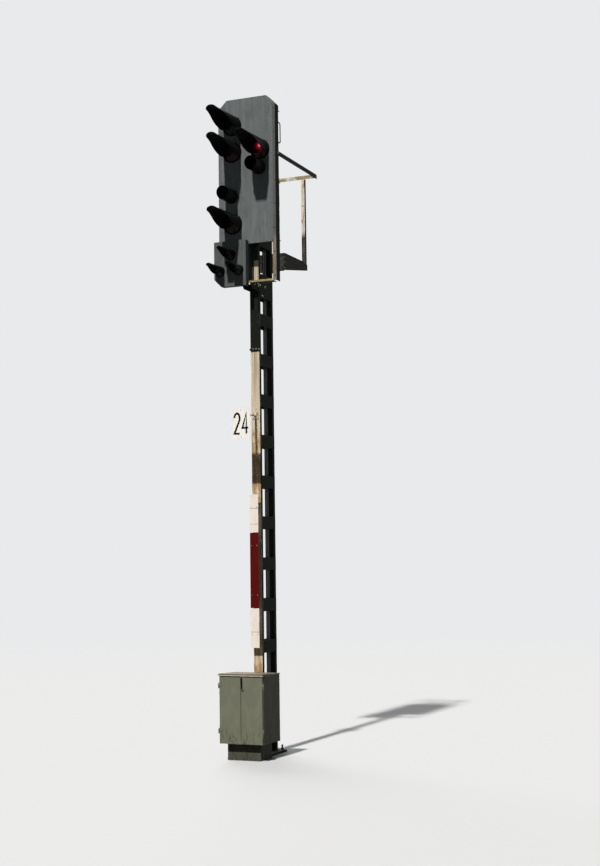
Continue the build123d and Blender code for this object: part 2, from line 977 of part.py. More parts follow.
with BuildPart() as terminal_board:
    board_back = cabinet_back - cabinet_sheet
    x = half_cabinet - cabinet_sheet - board_inset
    z0 = cabinet_bottom + cabinet_sheet + board_inset
    z1 = cabinet_top - cabinet_sheet - board_inset
    block(-x, x, board_back - board_thickness, board_back, z0, z1)
    pitch = (z1 - z0) / block_rows
    for row in range(block_rows):
        middle = z0 + pitch * (row + 0.5)
        block(
            block_margin - x, x - block_margin,
            board_back - board_thickness - block_depth, board_back - board_thickness,
            middle - block_height / 2, middle + block_height / 2,
        )
save(terminal_board, "terminal_board")
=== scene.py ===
# %% [markdown]
# # Colour-light main signal on a battened mast
# The real thing is a railway signal, 8.4 m tall. Two rolled channels, tied by flat battens, make the
# mast. The head is a dark sheet screen with nine hooded lenses, and behind it is a cage for the fitter.
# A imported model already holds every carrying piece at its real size. This lesson dresses that model:
# it gives each surface its paint, zinc, enamel or glass, and adds the small things that a designer's
# model leaves out, such as bolts, weld beads, lens ridges and the rolled rims of the hoods.

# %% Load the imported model
import json
import math
import bmesh
import bpy
from mathutils import Matrix, Vector

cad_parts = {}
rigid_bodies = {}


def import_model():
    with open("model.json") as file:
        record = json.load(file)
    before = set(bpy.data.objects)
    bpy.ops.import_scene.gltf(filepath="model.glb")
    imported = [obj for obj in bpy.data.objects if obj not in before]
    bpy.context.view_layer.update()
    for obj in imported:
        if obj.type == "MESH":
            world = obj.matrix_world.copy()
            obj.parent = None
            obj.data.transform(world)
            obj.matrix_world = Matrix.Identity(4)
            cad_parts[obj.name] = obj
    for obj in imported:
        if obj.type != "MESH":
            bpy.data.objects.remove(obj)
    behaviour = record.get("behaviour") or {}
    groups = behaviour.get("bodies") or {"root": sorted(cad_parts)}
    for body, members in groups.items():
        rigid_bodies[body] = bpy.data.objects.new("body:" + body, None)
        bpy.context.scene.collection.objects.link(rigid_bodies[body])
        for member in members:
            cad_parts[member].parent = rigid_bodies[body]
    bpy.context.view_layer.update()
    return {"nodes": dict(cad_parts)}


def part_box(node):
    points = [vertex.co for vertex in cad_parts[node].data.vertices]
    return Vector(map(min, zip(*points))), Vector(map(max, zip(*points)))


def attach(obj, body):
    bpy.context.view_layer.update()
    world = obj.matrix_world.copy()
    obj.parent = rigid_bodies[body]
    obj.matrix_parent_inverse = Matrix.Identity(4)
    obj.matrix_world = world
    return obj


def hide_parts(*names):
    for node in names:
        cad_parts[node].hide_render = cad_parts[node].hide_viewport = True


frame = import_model()
nodes = frame["nodes"]
mm = 0.001

# %% [markdown]
# ## Camera
# The photographer stood low and to one side, so the screen is seen from below and its edges converge
# upwards. A camera can be placed by eye, or worked out from edges that are known to be upright or level.
# It was worked out here: the three angles turn the camera about the world's upright, then tilt it up,
# and then level it about its own line of sight.

# %% Camera
camera_data = bpy.data.cameras.new("camera")
camera_data.lens = 60.5
camera = bpy.data.objects.new("camera", camera_data)
turn, tilt, level = (math.radians(a) for a in (23.013, 4.946, -0.762))
camera.matrix_world = (
    Matrix.Translation((7.757, -17.042, 2.455))
    @ Matrix.Rotation(turn, 4, "Z")
    @ Matrix.Rotation(math.pi / 2 + tilt, 4, "X")
    @ Matrix.Rotation(level, 4, "Z")
)
bpy.context.scene.collection.objects.link(camera)
bpy.context.scene.camera = camera
bpy.context.scene.view_settings.view_transform = "Standard"
print("camera at", [round(v, 2) for v in camera.location])

# %% [markdown]
# ## Colours and nodes
# Colours are easiest to read as the hex values of a paint chart, but a shader wants linear light, so one
# function converts them. A second function adds a node: it sets the node's own options, and fills each
# input with a number, a colour, or the result of another node. Every finish is written with these two.

# %% Helpers for finishes


def rgb(text):
    """A linear colour with alpha from an sRGB hex value."""
    parts = [int(text[i:i + 2], 16) / 255 for i in (1, 3, 5)]
    return [p / 12.92 if p <= 0.04045 else ((p + 0.055) / 1.055) ** 2.4 for p in parts] + [1.0]


def add(tree, kind, inputs=None, stops=(), **settings):
    """One node with its settings, what its inputs take, and the (place, colour) stops of a ramp."""
    made = tree.nodes.new("ShaderNode" + kind)
    for name, value in settings.items():
        setattr(made, name, value)
    for key, value in (inputs or {}).items():
        used = [s for s in made.inputs if s.enabled]
        socket = made.inputs[key] if isinstance(key, int) else next(s for s in used if s.name == key)
        if isinstance(value, bpy.types.Node):
            value = next(s for s in value.outputs if s.enabled)
        if isinstance(value, bpy.types.NodeSocket):
            tree.links.new(value, socket)
        else:
            socket.default_value = value
    for index, (place, colour) in enumerate(stops):
        row = made.color_ramp.elements
        element = row[index] if index < len(row) else row.new(place)
        element.position = place
        element.color = rgb(colour)
    return made


def new_finish(name):
    """An empty material and its node tree."""
    material = bpy.data.materials.new(name)
    material.use_nodes = True
    material.node_tree.nodes.clear()
    return material, material.node_tree


def surface(tree, inputs):
    """The shader that ends a finish. Constants stand on its own sockets."""
    shader = add(tree, "BsdfPrincipled", inputs)
    add(tree, "OutputMaterial", {"Surface": shader})


print("mid grey in linear light is", round(rgb("#808080")[0], 3))

# %% [markdown]
# ## Weathering masks
# Old outdoor paint is never even: rain draws streaks down it, rust blooms through it in spots, and the
# side that the sun bleaches turns paler than the rest. Painting this by hand needs a texture image.
# A noise whose size is given in millimetres does it for any shape, and a smooth threshold turns that
# noise into patches: a low threshold leaves much of the surface covered, a high one only spots. Some
# wear depends on where it is, such as splashes near the ground, so a mask can also follow an axis.

# %% Weathering masks


def patches(tree, size, low, high, shift=0.0, detail=5.0):
    """A mask of cloudy patches. size is how wide, deep and tall one is in millimetres."""
    place = add(tree, "TexCoord").outputs["Object"]
    scale = [1000 / s for s in size]
    sized = add(tree, "Mapping", {"Vector": place, "Location": (shift, shift, shift), "Scale": scale})
    cloud = add(tree, "TexNoise", {"Vector": sized, "Scale": 1.0, "Detail": detail, "Roughness": 0.6})
    return add(
        tree, "MapRange", {"Value": cloud, "From Min": low, "From Max": high},
        interpolation_type="SMOOTHSTEP",
    )


def beyond(tree, axis, start, end, smooth=False):
    """A mask by place: 0 before start and 1 past end, both in metres along an axis."""
    place = add(tree, "SeparateXYZ", {"Vector": add(tree, "TexCoord").outputs["Object"]})
    return add(
        tree, "MapRange", {"Value": place.outputs[axis], "From Min": start, "From Max": end},
        interpolation_type="SMOOTHSTEP" if smooth else "LINEAR",
    )


def faces_to_key_light(tree):
    """1 on faces that look the way the lenses do, towards the key light, and 0 on the others, which the
    finishes paint darker, partly as shade.
    """
    normal = add(tree, "SeparateXYZ", {"Vector": add(tree, "TexCoord").outputs["Normal"]})
    return add(
        tree, "MapRange", {"Value": normal.outputs["Y"], "From Min": -0.3, "From Max": -0.8},
        interpolation_type="SMOOTHSTEP",
    )


def over(tree, mask, top, below):
    """One coat over another where the mask is 1. A coat is a hex colour or a node."""
    coats = [rgb(coat) if isinstance(coat, str) else coat for coat in (below, top)]
    return add(tree, "Mix", {"Factor": mask, "A": coats[0], "B": coats[1]}, data_type="RGBA")


def relief(tree, height, depth):
    """The bump of a mask, depth millimetres from its lowest to its highest."""
    return add(tree, "Bump", {"Height": height, "Distance": depth * mm, "Strength": 1.0})


print("a 14 mm wide rain streak uses a noise scale of", round(1000 / 14, 1))

# %% [markdown]
# ## Mast paint
# The mast is structural steel under a thick alkyd paint. On the front web, which faces the sun, the
# paint has chalked to a warm beige, with rain streaks, and rust has come through at the foot and halfway
# up. The other sides and the battens are a dark grey-green that is partly painted shade. Above 6.2 m the
# web takes the same dark grey-green, as a painted shadow of the screen. One finish holds both, chosen by
# whether a face turns to the key light and by its place, so that every piece of the mast can share it.
# Chalked paint is rough and has no gloss left.

# %% Mast paint
mast_top = 8.3
# Above this height the web is painted dark grey-green, as the shadow that the screen throws on it.
painted_shadow_from = 6.2
web_face = -0.216


def mast_paint():
    material, tree = new_finish("alkyd_paint_chalked_on_steel")
    rusty_heights = add(
        tree, "ValToRGB", {"Fac": beyond(tree, "Z", 0.0, mast_top)},
        stops=[
            (0.0, "#ffffff"), (0.178, "#e4e4e4"), (0.186, "#5a5a5a"), (0.375, "#5a5a5a"),
            (0.385, "#dcdcdc"), (0.497, "#e8e8e8"), (0.502, "#646464"), (1.0, "#5c5c5c"),
        ],
    )
    streaks = patches(tree, (9, 9, 420), 0.42, 0.62)
    dirt = patches(tree, (16, 16, 900), 0.5, 0.68, shift=7.0)
    flakes = patches(tree, (20, 20, 34), 0.62, 0.66, shift=3.0)
    blooms = patches(tree, (60, 60, 170), 0.25, 0.75, shift=11.0)
    rust = add(tree, "Math", {0: blooms, 1: rusty_heights}, operation="MULTIPLY")
    rust = add(tree, "MapRange", {"Value": rust, "From Min": 0.2, "From Max": 0.5})
    bleached = over(tree, streaks, "#dccfba", "#c3b59d")
    bleached = over(tree, dirt, "#93866d", bleached)
    bleached = over(tree, flakes, "#5d4f3e", bleached)
    bleached = over(tree, rust, over(tree, streaks, "#b39770", "#9a7d54"), bleached)
    # The dark grey-green of the faces turned from the key light is partly painted shade.
    kept_and_shaded = over(tree, dirt, "#434b43", "#363d37")
    kept_and_shaded = over(tree, flakes, "#46352a", kept_and_shaded)
    front = beyond(tree, "Y", web_face + 5 * mm, web_face)
    front = add(tree, "Math", {0: front, 1: faces_to_key_light(tree)}, operation="MULTIPLY")
    # bare is 1 below the painted shadow of the screen and 0 above it.
    bare = beyond(tree, "Z", painted_shadow_from + 25 * mm, painted_shadow_from)
    front = add(tree, "Math", {0: front, 1: bare}, operation="MULTIPLY")
    colour = over(tree, front, bleached, kept_and_shaded)
    surface(tree, {
        "Base Color": colour, "Roughness": 0.8, "IOR": 1.48, "Specular IOR Level": 0.05,
        "Normal": relief(tree, flakes, 0.25),
    })
    return material


finishes = {"mast_paint": mast_paint()}
print("made", finishes["mast_paint"].name)

# %% [markdown]
# ## Screen and frame paint
# The screen is steel sheet in a matt dark grey that keeps stray light away from the lenses. Rain has
# left faint vertical streaks in it. The frame behind wears the same paint. Its front edge is bleached
# like the mast where it borders the open window, and only greyed above, where it borders the sheet. Its
# other faces are painted near black, as shade. Both are dielectric paints with an index near 1.5 and a
# high roughness.

# %% Screen and frame paint
window_top = 6.5


def screen_paint(name, base, washed, grimy):
    material, tree = new_finish(name)
    wash = patches(tree, (26, 26, 700), 0.44, 0.7, shift=2.0)
    grime = patches(tree, (130, 130, 260), 0.45, 0.75, shift=5.0)
    specks = patches(tree, (9, 9, 12), 0.7, 0.74, shift=1.0)
    colour = over(tree, wash, washed, base)
    colour = over(tree, grime, grimy, colour)
    colour = over(tree, specks, "#47453f", colour)
    surface(tree, {
        "Base Color": colour, "Roughness": 0.75, "IOR": 1.5, "Specular IOR Level": 0.07,
        "Normal": relief(tree, specks, 0.15),
    })
    return material


def frame_paint():
    material, tree = new_finish("matt_paint_on_steel_angle")
    sheltered = beyond(tree, "Z", window_top, window_top + 100 * mm)
    streaks = patches(tree, (12, 12, 160), 0.45, 0.6, shift=4.0)
    rust = patches(tree, (26, 26, 120), 0.56, 0.66, shift=9.0)
    bleached = over(tree, streaks, "#8a8073", "#776f64")
    bleached = over(tree, rust, "#94724f", bleached)
    bleached = over(tree, sheltered, over(tree, streaks, "#60605f", "#555758"), bleached)
    # The faces turned from the key light are painted near black, as shade.
    kept_and_shaded = over(tree, rust, "#33271f", over(tree, streaks, "#262d2c", "#181f21"))
    surface(tree, {
        "Base Color": over(tree, faces_to_key_light(tree), bleached, kept_and_shaded), "Roughness": 0.78, "IOR": 1.5,
        "Specular IOR Level": 0.06, "Normal": relief(tree, rust, 0.3),
    })
    return material


finishes["screen_paint"] = screen_paint("matt_paint_on_screen_sheet", "#63696c", "#6f7577", "#595f61")
finishes["box_paint"] = screen_paint("matt_paint_on_signal_box", "#555b5b", "#5f6564", "#4b5150")
finishes["frame_paint"] = frame_paint()
print("made", len(finishes), "finishes")

# %% [markdown]
# ## Zinc-coated steel
# Cage, platform and brackets are hot-dip galvanised. New zinc is bright grey. After decades in the open
# it has a pale cream patina on the faces that turn to the key light, with patches of rust and lichen. The
# other faces are a dark grey that is partly painted shade. It still counts as a metal under all that, but
# the patina scatters light, so metallic is low and roughness high.

# %% Zinc-coated steel


def galvanised_steel(name, rust_low, lichen_low):
    """The lower the two numbers, the more of the surface is rusty or overgrown."""
    material, tree = new_finish(name)
    upright = patches(tree, (10, 10, 240), 0.42, 0.62, shift=6.0)
    rust = patches(tree, (46, 46, 130), rust_low, rust_low + 0.12, shift=8.0)
    lichen = patches(tree, (150, 60, 60), lichen_low, lichen_low + 0.12, shift=13.0)
    spangle = patches(tree, (7, 7, 7), 0.3, 0.7, detail=2.0)
    bright = over(tree, upright, "#dcd8d0", "#c0b8ab")
    bright = over(tree, lichen, "#8f8c5c", bright)
    bright = over(tree, rust, "#a8703f", bright)
    # The faces turned from the key light are painted dark grey, partly as shade.
    dull = over(tree, spangle, "#42433f", "#373834")
    dull = over(tree, rust, "#3f3024", dull)
    surface(tree, {
        "Base Color": over(tree, faces_to_key_light(tree), bright, dull), "Roughness": 0.78, "Metallic": 0.1,
        "Specular IOR Level": 0.07, "Normal": relief(tree, rust, 0.3),
    })
    return material


def bolt_metal(name, bare, worn, roughness):
    """Turned or pressed metal whose surface is worn in spots, by rust or by tarnish."""
    material, tree = new_finish(name)
    spots = patches(tree, (9, 9, 9), 0.48, 0.6, shift=2.0)
    surface(tree, {
        "Base Color": over(tree, spots, worn, bare), "Roughness": roughness, "Metallic": 0.6,
        "Normal": relief(tree, spots, 0.1),
    })
    return material


finishes["galvanised_steel"] = galvanised_steel("galvanised_steel_with_patina", 0.54, 0.52)
finishes["overgrown_zinc"] = galvanised_steel("galvanised_steel_with_lichen", 0.5, 0.38)
finishes["zinc_bolts"] = bolt_metal("zinc_plated_bolts", "#8d8d88", "#7a5a3e", 0.48)
finishes["rusty_bolts"] = bolt_metal("rusty_painted_bolts", "#3c3a36", "#4f3524", 0.66)
print("made", len(finishes), "finishes")

# %% [markdown]
# ## Lamp housings and hoods
# The housings are cast and painted in a dark machine grey, whose slight orange peel breaks up the gloss.
# The hoods are steel sheet in black stove enamel: smooth outside where rain keeps it clean, and dull
# inside. Enamel has an index of about 1.5, and the hood's inside is nearly matt against glare. The strut
# under the head is near black, a little less black than the hoods, greenish in patches and without gloss.

# %% Lamp housings and hoods


def housing_paint():
    material, tree = new_finish("machine_enamel_on_casting")
    # Real orange peel is about 2 mm wide. It is drawn twice as coarse, so that it shows in a close view.
    peel = patches(tree, (4, 4, 4), 0.2, 0.8, detail=1.0)
    dust = patches(tree, (90, 90, 140), 0.45, 0.7)
    surface(tree, {
        "Base Color": over(tree, dust, "#33393a", "#23292a"), "Roughness": 0.5, "IOR": 1.5,
        "Specular IOR Level": 0.3, "Normal": relief(tree, peel, 0.12),
    })
    return material


def hood_enamel(name, base, dusty, roughness):
    material, tree = new_finish(name)
    dust = patches(tree, (60, 120, 60), 0.48, 0.72, shift=4.0)
    chips = patches(tree, (14, 14, 14), 0.7, 0.73, shift=9.0)
    colour = over(tree, chips, "#3a2c22", over(tree, dust, dusty, base))
    surface(tree, {
        "Base Color": colour, "Roughness": roughness, "IOR": 1.5, "Specular IOR Level": 0.05,
        "Normal": relief(tree, chips, 0.2),
    })
    return material


finishes["housing_paint"] = housing_paint()
finishes["hood_enamel"] = hood_enamel("black_stove_enamel", "#050606", "#0c0e0d", 0.42)
finishes["hood_inside"] = hood_enamel("matt_black_inside_hood", "#070707", "#0f0f0e", 0.8)
finishes["strut_paint"] = hood_enamel("near_black_on_strut", "#171b17", "#24261f", 0.75)
print("made", len(finishes), "finishes")

# %% [markdown]
# ## Sign sheets
# The name plate and the mast sign are aluminium sheet with a baked enamel face: white with a warm cast
# where dirt has settled, and a deep signal red that sun and soot have darkened. The name plate is the
# cleaner one. The face is smooth, so it keeps a soft gloss, and grime runs down from the seams.

# %% Sign sheets


def enamel_sheet(name, base, dirty, stain):
    material, tree = new_finish(name)
    haze = patches(tree, (70, 70, 210), 0.4, 0.75, shift=3.0)
    runs = patches(tree, (5, 5, 150), 0.62, 0.74, shift=6.0)
    colour = over(tree, runs, stain, over(tree, haze, dirty, base))
    surface(tree, {
        "Base Color": colour, "Roughness": 0.42, "IOR": 1.5, "Specular IOR Level": 0.08,
        "Normal": relief(tree, haze, 0.2),
    })
    return material


finishes["white_sheet"] = enamel_sheet("white_enamel_on_aluminium", "#ece7e0", "#dfd7cc", "#c4b8a4")
finishes["plate_sheet"] = enamel_sheet("clean_white_enamel_on_plate", "#f5f4f2", "#ebe9e6", "#d4cdc2")
finishes["red_sheet"] = enamel_sheet("red_enamel_on_aluminium", "#560b09", "#480807", "#33100c")
finishes["black_film"] = enamel_sheet("black_film_on_plate", "#14120f", "#1d1a16", "#2b2620")
print("made", len(finishes), "finishes")

# %% [markdown]
# ## Cabinet and plinth
# The cabinet is folded steel sheet in a grey-green machine paint. Its roof and lower edges show brown
# rust, and rain has splashed the base. The plinth under it is darker. The lip of the roof is painted pale,
# as a highlight along the edge that the key light strikes, with the same haze and runs as the sign
# sheets. Old paint like this is rough, with little gloss left.

# %% Cabinet and plinth
roof_from = 1.02
splash_top, splash_foot = 0.5, 0.2


def cabinet_paint(name, base, faded, damp):
    material, tree = new_finish(name)
    roof = beyond(tree, "Z", roof_from, roof_from + 25 * mm)
    splash = beyond(tree, "Z", splash_top, splash_foot, smooth=True)
    fade = patches(tree, (110, 110, 240), 0.4, 0.7, shift=1.0)
    stain = patches(tree, (40, 40, 90), 0.45, 0.7, shift=5.0)
    rust = patches(tree, (30, 30, 18), 0.44, 0.62, shift=8.0)
    specks = patches(tree, (8, 8, 10), 0.68, 0.72, shift=2.0)
    colour = over(tree, fade, faded, base)
    wet = add(tree, "Math", {0: splash, 1: stain}, operation="MULTIPLY")
    colour = over(tree, wet, damp, colour)
    edge = add(tree, "Math", {0: roof, 1: rust}, operation="MULTIPLY")
    colour = over(tree, roof, "#746b61", colour)
    colour = over(tree, edge, "#66554b", colour)
    colour = over(tree, specks, "#6b5541", colour)
    surface(tree, {
        "Base Color": colour, "Roughness": 0.65, "IOR": 1.5, "Specular IOR Level": 0.07,
        "Normal": relief(tree, specks, 0.2),
    })
    return material


finishes["cabinet_paint"] = cabinet_paint("grey_green_machine_paint", "#6e7163", "#797b6c", "#55543f")
finishes["plinth_paint"] = cabinet_paint("dark_plinth_paint", "#4c4e47", "#55574e", "#3f3c30")
# The lip's pale colour is a painted highlight along the edge that the key light strikes.
finishes["lip_highlight_paint"] = enamel_sheet("pale_highlight_on_roof_lip", "#b6b8ac", "#a1a296", "#7d7867")
print("made", len(finishes), "finishes")

# %% [markdown]
# ## Cable, plastic and glass
# The cable has a black polyethylene jacket, and the terminal blocks are beige phenolic moulding. The
# lenses are pressed glass, coloured right through, with stepped ridges on the face. In front of a dark
# lamp they read as deep colour under a gloss, so the colour sits in the base and the gloss comes from an
# index of 1.52 and a low roughness. The lit red one also glows, hottest a little above its middle.

# %% Cable, plastic and glass


def moulded(name, base, dusty, roughness):
    material, tree = new_finish(name)
    dust = patches(tree, (30, 30, 60), 0.45, 0.7)
    surface(tree, {"Base Color": over(tree, dust, dusty, base), "Roughness": roughness, "IOR": 1.5})
    return material


def lens_glass(name, deep, clear, glow=None):
    """Pressed glass. glow is (hot place, radius in metres, colours from the middle outwards)."""
    material, tree = new_finish(name)
    dust = patches(tree, (40, 40, 60), 0.5, 0.75, shift=2.0)
    inputs = {
        "Base Color": over(tree, dust, clear, deep), "Roughness": 0.22, "IOR": 1.52,
        "Specular IOR Level": 0.12,
    }
    if glow:
        (x, y, z), radius, colours = glow
        place = add(tree, "TexCoord").outputs["Object"]
        away = add(tree, "VectorMath", {0: place, 1: (x, y, z)}, operation="DISTANCE")
        share = add(tree, "MapRange", {"Value": away.outputs["Value"], "From Max": radius})
        spread = [(index / (len(colours) - 1), colour) for index, colour in enumerate(colours)]
        inputs["Emission Color"] = add(tree, "ValToRGB", {"Fac": share}, stops=spread)
        inputs["Emission Strength"] = 1.0
    surface(tree, inputs)
    return material


lit_low, lit_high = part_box("lens_red_right")
hot_offset = Vector((0.009, -0.012, 0.046))
lit_spot = (lit_low + lit_high) / 2 + hot_offset
lit_colours = ("#ffccd2", "#e23a50", "#8f0a17", "#520309", "#2c0104", "#0e0001", "#050000")
finishes["cable_jacket"] = moulded("polyethylene_cable_jacket", "#101110", "#22221f", 0.5)
finishes["brass"] = bolt_metal("machined_brass_screws", "#b08d4a", "#8a6c35", 0.35)
finishes["terminal_plastic"] = moulded("phenolic_terminal_blocks", "#b4a37c", "#9c8b66", 0.45)
finishes["green_glass"] = lens_glass("pressed_glass_green", "#04140d", "#0c2a1e")
finishes["red_glass"] = lens_glass("pressed_glass_red", "#1a0304", "#2c0708")
lit_glow = (lit_spot, 0.1, lit_colours)
finishes["red_glass_lit"] = lens_glass("pressed_glass_red_lit", "#1a0203", "#240405", lit_glow)
finishes["yellow_glass"] = lens_glass("pressed_glass_yellow", "#221303", "#3a2508")
finishes["white_glass"] = lens_glass("pressed_glass_clear", "#1c2022", "#33383a")
print("made", len(finishes), "finishes")

# %% [markdown]
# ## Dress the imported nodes
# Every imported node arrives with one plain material, named for the surface that it stands for. Swapping
# that material for its finish dresses the node, and a few nodes weathered otherwise than the rest of
# their kind. Folded sheet and rolled steel never have knife edges, so a small bevel catches the light.
# The bevel is a modifier over the node's own mesh, which stays.

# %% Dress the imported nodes


def dress(name, finish):
    """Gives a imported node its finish."""
    node = nodes[name]
    node.data.materials.clear()
    node.data.materials.append(finishes[finish])


def soften(name, width):
    """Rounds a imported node's outer edges by width millimetres."""
    node = nodes[name]
    if node.data.has_custom_normals:
        with bpy.context.temp_override(object=node, active_object=node):
            bpy.ops.mesh.customdata_custom_splitnormals_clear()
    for polygon in node.data.polygons:
        polygon.use_smooth = True
    weld = node.modifiers.new("join_faces", "WELD")
    weld.merge_threshold = 0.00001
    bevel = node.modifiers.new("soft_edges", "BEVEL")
    bevel.width = width * mm
    bevel.segments = 2
    bevel.limit_method = "ANGLE"
    bevel.angle_limit = math.radians(35)
    bevel.harden_normals = True


own_finishes = {
    "subsidiary_box": "box_paint", "frame_left": "screen_paint", "lower_strut": "strut_paint",
    "window_sill": "overgrown_zinc", "cage_crossbar": "overgrown_zinc", "cabinet_hinges": "cabinet_paint",
    "name_plate": "plate_sheet",
}
for name, node in nodes.items():
    slot = node.data.materials[0].name.split(".")[0]
    dress(name, own_finishes.get(name, slot))
soft_edges = {
    "front_channel": 2.0, "rear_channel": 2.0, "battens_right": 1.2, "battens_left": 1.2,
    "screen_plate": 0.8, "subsidiary_box": 2.0, "frame_right": 1.5, "frame_left": 1.5, "frame_top": 1.2,
    "cage_rails": 1.2, "cage_posts": 1.5, "cage_crossbar": 1.2, "platform_beam": 1.5,
    "platform_brackets": 1.5, "name_plate": 0.8, "mast_sign_white": 1.0, "mast_sign_red": 1.0,
    "cabinet_body": 1.0, "cabinet_roof": 3.0, "foot_plate": 2.0, "cabinet_plinth": 1.0,
}
for name, width in soft_edges.items():
    soften(name, width)
print("dressed", len(nodes), "nodes, softened", len(soft_edges))

# %% [markdown]
# ## Building pieces in mesh code
# The small pieces are turned, swept or lofted. A turned piece, such as a rivet, is a short profile spun
# round an axis. A swept piece, such as a rolled rim, carries a circle along a line of points. A lofted
# piece joins rows of points. Primitives would be quicker, but their edges would be sharp and bare.

# %% Helpers for pieces
front, back, right, left, upward = (0, -1, 0), (0, 1, 0), (1, 0, 0), (-1, 0, 0), (0, 0, 1)


def finish_piece(name, mesh, finish, body="mast", crease=35):
    """Turns a bmesh into an object that rides on a body and takes its finish from a slot."""
    bmesh.ops.recalc_face_normals(mesh, faces=mesh.faces)
    data = bpy.data.meshes.new(name)
    mesh.to_mesh(data)
    mesh.free()
    data.shade_smooth()
    data.set_sharp_from_angle(angle=math.radians(crease))
    data.materials.append(finishes[finish])
    made = bpy.data.objects.new(name, data)
    bpy.context.scene.collection.objects.link(made)
    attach(made, body)
    return made


def skin(mesh, rows, closed=False):
    """Joins rows of vertices with faces. A row of one vertex is a point that the next row fans from."""
    for near, far in zip(rows, rows[1:]):
        count = max(len(near), len(far))
        for index in range(count if closed else count - 1):
            after = (index + 1) % count
            corners = [near[index % len(near)], near[after % len(near)]]
            corners += [far[after % len(far)], far[index % len(far)]]
            unique = list(dict.fromkeys(corners))
            if len(unique) > 2:
                mesh.faces.new(unique)


def around(count):
    """Points at even steps round a circle of radius 1."""
    angles = [2 * math.pi * step / count for step in range(count)]
    return [(math.cos(a), math.sin(a)) for a in angles]


def scaled(profile, size):
    """A profile that is written in millimetres, or in shares of a size."""
    return [(radius * size, height * size) for radius, height in profile]


def levels_of(name, digits=3):
    """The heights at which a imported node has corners, from the lowest to the highest."""
    return sorted({round(v.co.z, digits) for v in nodes[name].data.vertices})


def turned(mesh, profile, place, axis, segments=16):
    """Spins a profile of (radius, height) points round an axis that starts at a place."""
    stand = Matrix.Translation(place) @ Vector(axis).to_track_quat("Z", "Y").to_matrix().to_4x4()
    rows = []
    for radius, height in profile:
        ring = around(segments if radius > 0 else 1)
        rows.append([mesh.verts.new(stand @ Vector((radius * x, radius * y, height))) for x, y in ring])
    skin(mesh, rows, closed=True)


def swept(mesh, points, radii, segments, loop=False):
    """Carries a circle along points. radii is one radius for each point."""
    rows = []
    normal = None
    last = len(points) - 1
    for index, point in enumerate(points):
        before = points[index - 1] if index or loop else point
        after = points[(index + 1) % len(points)] if index < last or loop else point
        along = (after - before).normalized()
        if normal is None:
            normal = along.orthogonal().normalized()
        normal = (normal - along * normal.dot(along)).normalized()
        side = along.cross(normal)
        ring = [point + radii[index] * (normal * x + side * y) for x, y in around(segments)]
        rows.append([mesh.verts.new(spot) for spot in ring])
    if loop:
        rows.append(rows[0])
    skin(mesh, rows, closed=True)
    if not loop:
        mesh.faces.new(rows[0])
        mesh.faces.new(rows[-1])


print("a rivet of 14 segments and 4 bands has", 14 * 4, "faces")

# %% [markdown]
# ## Lamp hoods
# Each large hood is one steel sheet, rolled into a long drooping beak that is open below, and held by a
# short collar. A stiff bead runs round its cut edge. A modeller could cut it from a cone, but then the
# bead has no line to follow. So it is lofted: at each distance from the screen the section is an arc of a
# circle that shrinks towards the nose, and the arc closes as the cut edge climbs. A curve with five
# factors, one for each power of the distance, gives the height of that edge: it sags a little near the
# screen and then climbs, and over the nose it rounds up to the ridge. All hoods share these numbers.

# %% Shape of a beak hood
sheet = 3 * mm
hood_flange = 5 * mm
collar_share = 0.2
tip_share = 0.81
droop_share = 0.151
nose_share = 0.3
nose_power = 0.72
edge_curve = (-0.185, -3.327, 10.946, -6.975, -0.363)


def hood_size(node):
    """Centre of a hood on the face behind it, its radius and its length."""
    low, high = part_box(node)
    radius = (high.x - low.x) / 2 - hood_flange
    return Vector(((low.x + high.x) / 2, high.y, low.z + hood_flange + radius)), radius, high.y - low.y


def hood_arc(share, radius):
    """Height of the arc's centre, the arc's radius and half its angle at a share of the hood's length."""
    size = radius * (1 + (tip_share - 1) * share)
    ridge = radius * (1 - droop_share * share)
    edge = radius * sum(factor * share ** power for power, factor in enumerate(edge_curve))
    inside = max(0.0, (share - 1 + nose_share) / nose_share)
    edge = ridge - (ridge - edge) * max(0.0, 1 - inside ** 2) ** nose_power
    centre = ridge - size
    return centre, size, math.acos(max(-1.0, min(1.0, (edge - centre) / size)))


print("half angle at the screen and halfway", [round(math.degrees(hood_arc(s, 0.128)[2])) for s in (0, 0.5)])

# %% Beak hoods


def hood_rows(mesh, centre, radius, length, steps=44, across=32):
    """Rows of vertices from the screen to the nose, close together at the nose, and the cut edge."""
    rows = []
    for step in range(steps + 1):
        share = math.sin(math.pi / 2 * step / steps)
        height, size, spread = hood_arc(share, radius)
        row = []
        for index in range(across + 1):
            angle = spread * (2 * index / across - 1)
            spot = Vector((size * math.sin(angle), -length * share, height + size * math.cos(angle)))
            row.append(mesh.verts.new(centre + spot))
        rows.append(row)
    return rows, [row[0].co.copy() for row in rows] + [row[-1].co.copy() for row in rows[-2::-1]]


def flange_ring(name, centre, radius, collar):
    """The screwed ring and the short collar that hold a hood, with sealant in the corner between them."""
    mesh = bmesh.new()
    inner, outer, band = radius - sheet, radius + hood_flange, radius + 0.8 * mm
    ring = [
        (inner, 0.0), (outer, 0.0), (outer, 4 * mm), (outer - 2 * mm, 5 * mm), (radius + 2.5 * mm, 5 * mm),
        (band, 8 * mm), (band, collar), (inner, collar), (inner, 0.0),
    ]
    turned(mesh, ring, centre, front, segments=64)
    finish_piece(name + "_collar", mesh, "hood_enamel")


